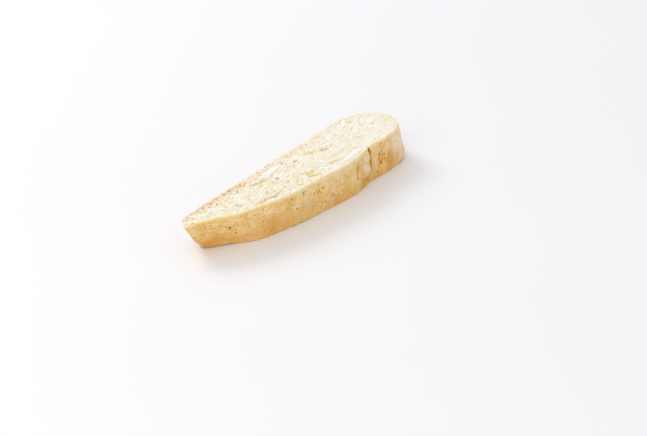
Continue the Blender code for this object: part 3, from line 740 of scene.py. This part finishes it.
# Moves every point of the skin out by its relief, blending crust into crumb over the rounded
# edges, and rounds and chips those edges.
def sliceSkin():
    count, around = rows.shape[:2]
    spineCount = around // 2 + 1
    points = np.vstack([rows.reshape(-1, 3), *spines])
    along = points[:, 0]
    lean = np.append(np.repeat(tilt, around), np.repeat((-1.0, 1.0), spineCount))
    out = np.vstack([np.tile(outwardOf(outline), (count, 1)), np.zeros((2 * spineCount, 2))])
    angle = lean * math.pi / 2
    normal = np.column_stack([out * np.cos(angle)[:, None], np.sin(angle)])
    firstRim, lastRim = np.argmax(tilt > -1) - 1, np.argmax(tilt >= 1)
    fromRim = np.minimum(np.linalg.norm(rows - rows[firstRim], axis=2),
                         np.linalg.norm(rows - rows[lastRim], axis=2))
    fromRim = np.append(fromRim, np.full(2 * spineCount, 20.0))   # a spine is far from both
    onFace, onCut = smoothStep(*cutEdges["turned"], np.abs(lean)), np.abs(lean) >= 1
    onRing = np.arange(len(points)) < count * around
    domeSide = onRing * smoothStep(*cutEdges["domeFacing"], out[:, 1])
    baseSide = smoothStep(*cutEdges["baseFacing"], out[:, 1])

    lift, shadeAndStain, brownAndShade, paleAndPaintedLight, flatBase, baked = np.zeros((6, len(points)))
    *inner, reach = cutEdges["packed"]
    packed = domeSide * ramp(along, *inner) * np.exp(-(fromRim / reach) ** 2)
    for side in (-1, 1):
        mask = lean * side > 0
        faceLift, faceShade = cutRelief(points[mask], side)
        lift[mask] += onFace[mask] * faceLift
        # painted shade of the pores, thinned along the dome's edge
        shadeAndStain[mask] += onFace[mask] * faceShade * (1 - packed[mask])
    mask = ~onCut
    wallLift, wallStainAndShade, *tones = crustRelief(points[mask], out[mask, 1])
    brownAndShade[mask], paleAndPaintedLight[mask], flatBase[mask] = tones
    lift[mask] += (1 - onFace[mask]) * wallLift
    # brown stain and painted shade of the crust's pits and splits
    shadeAndStain[mask] += (1 - onFace[mask]) * wallStainAndShade
    baked[mask] = smoothStep(*cutEdges["pitInside"], wallStainAndShade)

    size, deep = cutEdges["chips"]
    chips = ramp(layeredNoise(points, size, 1.0, 201, 2), *cutEdges["chipped"], deep)
    chips += layeredNoise(points, *cutEdges["crumbs"], 205, 2)
    chips *= 1 - domeSide * ramp(along, *cutEdges["cleaner"])
    lift -= chips * np.exp(-(fromRim / cutEdges["chipReach"]) ** 2)

    wander = layeredNoise(points, *cutEdges["bandWander"], 211)
    band = smoothStep(*cutEdges["band"], fromRim + wander)
    band *= np.maximum(baseSide, ramp(along, *cutEdges["bandRoundEnd"]))
    for start, stop, before, after in cutEdges["bandShares"]:
        band *= before + (after - before) * smoothStep(start, stop, along)
    brownAndShade = np.where(onCut, band, brownAndShade)

    wander = layeredNoise(points, *cutEdges["wander"], 221)
    inside = np.where(onCut, -fromRim, fromRim) + wander
    inside -= cutEdges["baseShift"] * baseSide + ramp(along, *cutEdges["domeShift"])
    halfway, shift = cutEdges["lowerHalf"]
    inside += shift * (points[:, 2] < halfway)
    crustShare = sum(0.5 * smoothStep(*fade, inside) for fade in cutEdges["fades"])
    crustShare = np.maximum(crustShare, baked * (1 - onFace))
    points = points + normal * lift[:, None]
    points[:, 2] = np.maximum(points[:, 2], 0.0)
    return points, {"crust": crustShare, "shadeAndStain": shadeAndStain, "toasted": brownAndShade, "paleAndPaintedLight": paleAndPaintedLight,
                    "flatBase": flatBase, "openness": openCrumb(points[:, 0])}


skinPoints, skinMarks = sliceSkin()
gridSize = rows.shape[0] * rows.shape[1]
half = rows.shape[1] // 2
bakedSlice = skinMesh("bakedSlice", skinPoints[:gridSize].reshape(rows.shape),
                      (skinPoints[gridSize:gridSize + half + 1], skinPoints[gridSize + half + 1:]))
for mark, values in skinMarks.items():
    setAttribute(bakedSlice, mark, values)
print("slice:", 2 * len(bakedSlice.data.polygons), "triangles")


# An almond: leaf-shaped rings from a line under it, out to its rim and in to a line on top. Its
# underside is half an oval deep, and its face is the flatter the greater flatness is, until it
# dips to the rim, which the dough covers. Level is how far that rim lies below the highest point
# of its CAD node.
def almondPiece(name, nut, level, depth, crown, flatness):
    size, count = nut["size"], almond["around"]
    seed = 300 + sum(map(ord, name))   # so that no two are alike
    angle = np.arange(count) / count * 2 * math.pi
    ahead = np.cos(angle)
    leaf = np.column_stack([ahead * size[0] / 2,
                            np.sin(angle) * (1 + almond["taper"] * ahead) * size[1] / 2])
    around = np.column_stack([leaf, np.zeros(count)])
    leaf *= (1 + layeredNoise(around, *almond["ragged"], seed))[:, None]
    spine = np.column_stack([leaf[:, 0] * almond["spine"], np.zeros(count)])
    inward = np.linspace(0.0, 1.0, almond["rings"] + 1)[1:]
    shares = np.concatenate([inward[::-1], [0.0], inward])
    isFace = np.arange(len(shares)) > almond["rings"]
    flat = leaf[None] + (spine - leaf)[None] * shares[:, None, None]
    under = -depth * np.sqrt(1 - (1 - shares) ** 2)
    face = (crown + almond["rim"]) * (1 - (1 - shares) ** flatness)
    own = np.dstack([flat, np.repeat(np.where(isFace, face, under)[:, None], count, axis=1)])
    uneven = layeredNoise(own, *almond["uneven"], seed + 9, 2)
    grooves = layeredNoise(own, *almond["grooves"], seed + 5)
    own[..., 2] += isFace[:, None] * (uneven + grooves)
    place = nut["middle"] + nut["axes"][2] * (size[2] / 2 - level)
    rings = own @ nut["axes"] + place
    half = count // 2 + 1
    piece = skinMesh(name, rings[1:-1], (rings[0, :half], rings[-1, :half]))
    lengthwise = np.vstack([flat[1:-1].reshape(-1, 2), flat[0, :half], flat[-1, :half]])
    fromSpine = np.append(np.repeat(1 - shares[1:-1], count), np.zeros(2 * half))
    setAttribute(piece, "rim", fromSpine)
    layer = piece.data.uv_layers.new(name="grain")
    corners = np.empty(len(piece.data.loops), np.int32)
    piece.data.loops.foreach_get("vertex_index", corners)
    inCentimetres = lengthwise[corners] / 10
    layer.data.foreach_set("uv", inCentimetres.astype(np.float32).ravel())
    return piece


slivers = [almondPiece("sliver_" + nut["name"].removeprefix("almond_"), nut, **almond["sliced"])
           for nut in upperNuts + lowerNuts]
crustSliver = almondPiece("sliver_crust", crustNut, **almond["whole"])
print("almonds:", len(slivers) + 1, "pieces")


# An sRGB hex colour as Blender's linear one, by the sRGB curve.
def linearColour(hexColour):
    channels = np.array([int(hexColour[n:n + 2], 16) for n in (1, 3, 5)]) / 255
    linear = np.where(channels <= 0.04045, channels / 12.92, ((channels + 0.055) / 1.055) ** 2.4)
    return (*linear.tolist(), 1.0)


# Adds a node with its own settings and gives each socket, by name or number, a value, a hex
# colour or the output it reads. Hands back the named output, or else the first one in use.
def addNode(tree, kind, sockets, output=None, **settings):
    node = tree.nodes.new("ShaderNode" + kind)
    for name, value in settings.items():
        setattr(node, name, value)
    for name, value in sockets.items():
        byName = (socket for socket in node.inputs if socket.enabled and socket.name == name)
        socket = node.inputs[name] if isinstance(name, int) else next(byName)
        if isinstance(value, bpy.types.NodeSocket):
            tree.links.new(value, socket)
        else:
            socket.default_value = linearColour(value) if isinstance(value, str) else value
    inUse = (socket for socket in node.outputs if socket.enabled)
    return next(socket for socket in inUse if output in (None, socket.name))


# A new material, its node tree and its shader with what is the same all over the surface.
def newMaterial(name, shaderValues):
    material = bpy.data.materials.new(name)
    material.use_nodes = True
    shader = material.node_tree.nodes["Principled BSDF"]
    for socket, value in shaderValues.items():
        shader.inputs[socket].default_value = value
    return material, material.node_tree, shader


# Colours laid over a first one. Each layer follows a value: it starts where that is at low, and
# has its greatest share where that is at high.
def layColours(tree, colour, layers):
    for value, low, high, most, tone in layers:
        share = addNode(tree, "MapRange", {"Value": value, "From Min": low, "From Max": high,
                                           "To Max": most})
        colour = addNode(tree, "Mix", {"Factor": share, "A": colour, "B": tone},
                         data_type="RGBA")
    return colour


# Colours of the dough and what else can be changed in its finish.
dough = {
    # The crumb's deep colour and the band's are painted shade down pores and in grain valleys, the
    # band's pores browned as well; the pit colours are a brown stain darkened as painted shade;
    # the rim's cream is lightened as a painted highlight; the pale colour is also painted light.
    "crumbLight": "#F7F5F0", "crumb": "#EEE7D6", "crumbShade": "#E6CC88", "band": "#F3DEC0",
    "bandDeep": "#D0A260", "rimCreamAndHighlight": "#FFE2AF", "crustLight": "#FCE3A5", "crust": "#F4C97A",
    "crustWarm": "#E2A64A", "pitRim": "#CE872C", "pitDeep": "#7C420C", "toast": "#E3A343",
    "paleAndPaintedLight": "#FFF0DF", "speck": "#B27A3A", "base": "#C2935A", "baseRim": "#F0E0C2",
    # painted shade: how much of the crumb's deep colour falls in the valleys of its flakes and
    # grain
    "grainShadeShare": 0.75,             # how much of the crumb's deep colour its grains take
    "roughness": (0.68, 0.9),
    "glow": (0.12, 0.9),            # subsurface share, and that beside a cut edge
    # height in metres of coarse and fine lumps, in the crumb and in the crust, and of pinholes
    "coarse": (0.0005, 0.0003),
    "fine": (0.00029, 0.00014),
    "pinhole": -0.0001,
    "bump": 0.8,
}


# Baked egg dough, cut and toasted. The cream crumb is painted a darker honey colour as shade down
# its pores and in the valleys of its grain, and lighter as a painted highlight where its edge
# turns to crust. The matt golden crust has browner toasted patches, floury pale ones and dark
# pinhole specks, with painted shade in its pits and splits and towards the bottom of the wall, and
# painted light at the broad end and along the top.
def bakedDough():
    material, tree, shader = newMaterial("bakedDough", {
        "IOR": 1.45, "Specular IOR Level": 0.35, "Subsurface Radius": (1.0, 0.6, 0.35),
        "Subsurface Scale": 0.0012})
    place = addNode(tree, "TexCoord", {}, output="Object")
    crustShare, shadeAndStain, toasted, paleAndPaintedLight, flatBase, openness = (
        addNode(tree, "Attribute", {}, output="Fac", attribute_name=name)
        for name in ("crust", "shadeAndStain", "toasted", "paleAndPaintedLight", "flatBase", "openness"))
    # patches 5 mm across, crumbs just under 1 mm, grain half of that, and flakes 2 mm by 1 mm
    along = addNode(tree, "Mapping", {"Vector": place, "Scale": (0.5, 1.0, 1.0)})
    patches, crumbs, grain, flakes = (
        addNode(tree, "TexNoise", {"Vector": vector, "Scale": scale, "Detail": detail},
                output="Fac")
        for vector, scale, detail in ((place, 200.0, 4.0), (place, 1100.0, 3.0),
                                      (place, 2200.0, 3.0), (along, 1000.0, 3.0)))
    # pinhole specks: near the middles of some 1.8 mm cells, and stirred a little
    stir = addNode(tree, "TexNoise", {"Vector": place, "Scale": 1500.0, "Detail": 2.0},
                   output="Color")
    stir = addNode(tree, "VectorMath", {0: stir, 1: (0.0006,) * 3}, operation="MULTIPLY")
    loose = addNode(tree, "VectorMath", {0: place, 1: stir}, operation="ADD")
    cellMiddle, cellTone = (
        addNode(tree, "TexVoronoi", {"Vector": loose, "Scale": 560.0}, output=output)
        for output in ("Distance", "Color"))
    hasSpeck, speck = (
        addNode(tree, "MapRange", {"Value": value, "From Min": low, "From Max": high})
        for value, low, high in ((cellTone, 0.55, 0.75), (cellMiddle, 0.24, 0.1)))
    speck = addNode(tree, "Math", {0: speck, 1: hasSpeck}, operation="MULTIPLY")

    # the deep colour of pores, browner in the toasted band, and the cut edge's cream, lightened as
    # a painted highlight where the rounded edge turns to crust
    deep, rimToneAndHighlight = (
        addNode(tree, "Mix", {"Factor": share, "A": dough[first], "B": dough[second]},
                data_type="RGBA")
        for share, first, second in ((toasted, "crumbShade", "bandDeep"),
                                     (flatBase, "rimCreamAndHighlight", "baseRim")))
    grainShade = addNode(tree, "Math", {0: openness, 1: dough["grainShadeShare"]}, operation="MULTIPLY")
    gold = layColours(tree, dough["crustLight"], (
        (patches, 0.4, 0.62, 1.0, dough["crust"]), (crumbs, 0.45, 0.66, 0.78, dough["crustWarm"]),
        (grain, 0.48, 0.72, 0.6, dough["crustLight"]), (flatBase, 0.0, 1.0, 0.7, dough["base"]),
        # browner toasted places, which also carry the painted shade towards the bottom of the wall
        (toasted, 0.0, 1.0, 1.0, dough["toast"]), (speck, 0.0, 1.0, 1.0, dough["speck"]),
        # painted light in the pale places; then pits and splits: brown stain, darkened further as
        # painted shade
        (paleAndPaintedLight, 0.0, 1.0, 1.0, dough["paleAndPaintedLight"]), (shadeAndStain, 0.0, 0.5, 1.0, dough["pitRim"]),
        (shadeAndStain, 0.5, 1.0, 1.0, dough["pitDeep"])))
    colour = layColours(tree, dough["crumbLight"], (
        (patches, 0.3, 0.7, 1.0, dough["crumb"]), (toasted, 0.0, 1.0, 1.0, dough["band"]),
        # painted shade: the crumb's deep colour in the valleys of its flakes and grain
        (flakes, 0.49, 0.33, grainShade, deep), (grain, 0.47, 0.35, grainShade, deep),
        # painted shade down the pores, then the cut edge's cream with its painted highlight, then
        # the crust
        (shadeAndStain, 0.05, 1.0, 0.9, deep), (crustShare, 0.0, 0.5, 1.0, rimToneAndHighlight),
        (crustShare, 0.5, 1.0, 1.0, gold)))
    tree.links.new(colour, shader.inputs["Base Color"])
    # light that falls on a cut face comes out again through the thin crust beside its edge
    notCrust = addNode(tree, "Math", {0: 1.0, 1: crustShare}, operation="SUBTRACT")
    glow = addNode(tree, "Math", {0: notCrust, 1: crustShare}, operation="MULTIPLY")
    glow = addNode(tree, "MapRange", {"Value": glow, "From Max": 0.25, "To Min": dough["glow"][0],
                                      "To Max": dough["glow"][1]})
    tree.links.new(glow, shader.inputs["Subsurface Weight"])

    # noise spans less than half of a height: crumb stands 0.2 mm high, crust about half of that
    lumps = addNode(tree, "Mix", {"Factor": crustShare, "A": flakes, "B": crumbs})
    bump = addNode(tree, "NewGeometry", {}, output="Normal")
    for pattern, (inCrumb, inCrust) in ((lumps, dough["coarse"]), (grain, dough["fine"])):
        height = addNode(tree, "MapRange", {"Value": crustShare, "To Min": inCrumb,
                                            "To Max": inCrust})
        height = addNode(tree, "Math", {0: pattern, 1: height}, operation="MULTIPLY")
        bump = addNode(tree, "Bump", {"Height": height, "Distance": 1.0,
                                      "Strength": dough["bump"], "Normal": bump})
    pinhole = addNode(tree, "Math", {0: speck, 1: crustShare}, operation="MULTIPLY")
    bump = addNode(tree, "Bump", {"Height": pinhole, "Distance": dough["pinhole"],
                                  "Strength": dough["bump"], "Normal": bump})
    tree.links.new(bump, shader.inputs["Normal"])
    smooth, rough = dough["roughness"]
    share = addNode(tree, "MapRange", {"Value": crumbs, "From Min": 0.3, "From Max": 0.7,
                                       "To Min": smooth, "To Max": rough})
    tree.links.new(share, shader.inputs["Roughness"])
    return material


# The same for the almonds.
flesh = {
    "light": "#F6F4ED", "deep": "#EEE8DA", "skin": "#E6D6B4",
    "toastedLight": "#F9E4C0", "toastedDeep": "#F0D2A2", "toastedSkin": "#E4BE88",
    "streaks": (2.0, 25.0, 1.0),      # one every 5 mm along it and every 0.4 mm across, per cm
    "roughness": (0.5, 0.75),
    "streakBump": 0.0002, "mottleBump": 0.0003, "bump": 0.6,     # metres, metres, strength
}


# Blanched almond, sliced by the knife: ivory, smoother than the crumb, with fine grain along it
# and a tan trace of skin at its rim. The toasted one is the same nut browned in the crust.
def almondFlesh(name, light, deep, skin):
    material, tree, shader = newMaterial(name, {
        "IOR": 1.46, "Specular IOR Level": 0.4, "Subsurface Weight": 0.15,
        "Subsurface Radius": (1.0, 0.7, 0.45), "Subsurface Scale": 0.001})
    lengthwise = addNode(tree, "UVMap", {}, uv_map="grain")
    place = addNode(tree, "TexCoord", {}, output="Object")
    rim = addNode(tree, "Attribute", {}, output="Fac", attribute_name="rim")
    along = addNode(tree, "Mapping", {"Vector": lengthwise, "Scale": flesh["streaks"]})
    # streaks follow the nut, and mottles are 1.4 mm across
    streaks, mottle = (
        addNode(tree, "TexNoise", {"Vector": vector, "Scale": scale, "Detail": detail},
                output="Fac")
        for vector, scale, detail in ((along, 1.0, 4.0), (place, 700.0, 3.0)))
    rimEdge = addNode(tree, "Math", {0: rim, 1: mottle}, operation="ADD")
    colour = layColours(tree, light, (
        (streaks, 0.35, 0.68, 1.0, deep), (rimEdge, 1.2, 1.55, 0.8, skin),
        (mottle, 0.56, 0.66, 0.5, skin)))
    tree.links.new(colour, shader.inputs["Base Color"])
    bump = addNode(tree, "NewGeometry", {}, output="Normal")
    for height, distance in ((streaks, flesh["streakBump"]), (mottle, flesh["mottleBump"])):
        bump = addNode(tree, "Bump", {"Height": height, "Distance": distance,
                                      "Strength": flesh["bump"], "Normal": bump})
    tree.links.new(bump, shader.inputs["Normal"])
    smooth, rough = flesh["roughness"]
    share = addNode(tree, "MapRange", {"Value": mottle, "From Min": 0.3, "From Max": 0.7,
                                       "To Min": smooth, "To Max": rough})
    tree.links.new(share, shader.inputs["Roughness"])
    return material


doughMaterial = bakedDough()
blanched = almondFlesh("blanchedAlmond", flesh["light"], flesh["deep"], flesh["skin"])
browned = almondFlesh("toastedAlmond", flesh["toastedLight"], flesh["toastedDeep"],
                      flesh["toastedSkin"])
print("materials: baked dough, blanched almond, toasted almond")

for piece, material, slotName, node in (
        (bakedSlice, doughMaterial, "baked_dough", "slice"),
        *((piece, blanched, "almond", nut["name"]) for piece, nut in
          zip(slivers, upperNuts + lowerNuts)),
        (crustSliver, browned, "toasted_almond", "almond_crust")):
    piece.data.materials.append(material)
    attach(piece, "root")
    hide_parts(node)

# Floor, light and camera.
studio = {
    "floorHalf": 3.0,                       # metres
    "laminate": ("#EDEDF0", "#F0F0F2"),
    "world": 0.745,
    "lamps": (
        # place, width, power in watts
        ((0.15, 0.95, 0.8), 0.7, 6.4),
        ((-0.9, -0.1, 0.6), 0.9, 3.3),
    ),
    "camera": (-0.6157, -0.3912, 0.3541),   # metres
    "heading": 31.72,                       # degrees from +X towards +Y
    "pitch": 26.31,                         # downwards
    "roll": 1.1,
    "lens": 113.0,                          # mm
    "sensor": 36.0,                         # mm
    "clip": (0.01, 50.0),                   # metres
}


# Matt white laminate, pressed smooth: an even, pale sheet with the faintest cloudiness.
def makeFloor():
    half = studio["floorHalf"]
    data = bpy.data.meshes.new("floor")
    data.from_pydata([(-half, -half, 0), (half, -half, 0), (half, half, 0), (-half, half, 0)], [],
                     [(0, 1, 2, 3)])
    piece = newObject("floor", data)
    material, tree, shader = newMaterial("paleLaminate", {"Roughness": 0.4,
                                                          "Specular IOR Level": 0.4})
    place = addNode(tree, "TexCoord", {}, output="Object")
    cloud = addNode(tree, "TexNoise", {"Vector": place, "Scale": 6.0, "Detail": 2.0},
                    output="Fac")
    light, cloudy = studio["laminate"]
    colour = layColours(tree, light, ((cloud, 0.0, 1.0, 1.0, cloudy),))
    tree.links.new(colour, shader.inputs["Base Color"])
    data.materials.append(material)


# A white surround and round lamps, each facing the middle of the scene.
def makeLights():
    world = bpy.data.worlds.new("studio")
    world.use_nodes = True
    background = world.node_tree.nodes["Background"]
    background.inputs["Color"].default_value = linearColour("#FFFFFF")
    background.inputs["Strength"].default_value = studio["world"]
    bpy.context.scene.world = world
    for number, (place, width, power) in enumerate(studio["lamps"], start=1):
        data = bpy.data.lights.new(f"softbox{number}", "AREA")
        data.shape, data.size, data.energy = "DISK", width, power
        lamp = newObject(f"softbox{number}", data)
        lamp.location = place
        lamp.rotation_euler = (-Vector(place)).to_track_quat("-Z", "Y").to_euler()


# A camera turned by its heading, tipped down by its pitch and rolled about its own view.
def makeCamera():
    data = bpy.data.cameras.new("camera")
    data.lens, data.sensor_width = studio["lens"], studio["sensor"]
    data.clip_start, data.clip_end = studio["clip"]
    camera = newObject("camera", data)
    heading, pitch = math.radians(studio["heading"]), math.radians(studio["pitch"])
    turn = Matrix.Rotation(heading - math.pi / 2, 4, "Z")
    tip = Matrix.Rotation(math.pi / 2 - pitch, 4, "X")
    roll = Matrix.Rotation(math.radians(studio["roll"]), 4, "Z")
    camera.matrix_world = Matrix.Translation(studio["camera"]) @ turn @ tip @ roll
    bpy.context.scene.camera = camera


makeFloor()
makeLights()
makeCamera()
bpy.context.scene.view_settings.view_transform = "Standard"
print("floor, lights and camera ready")
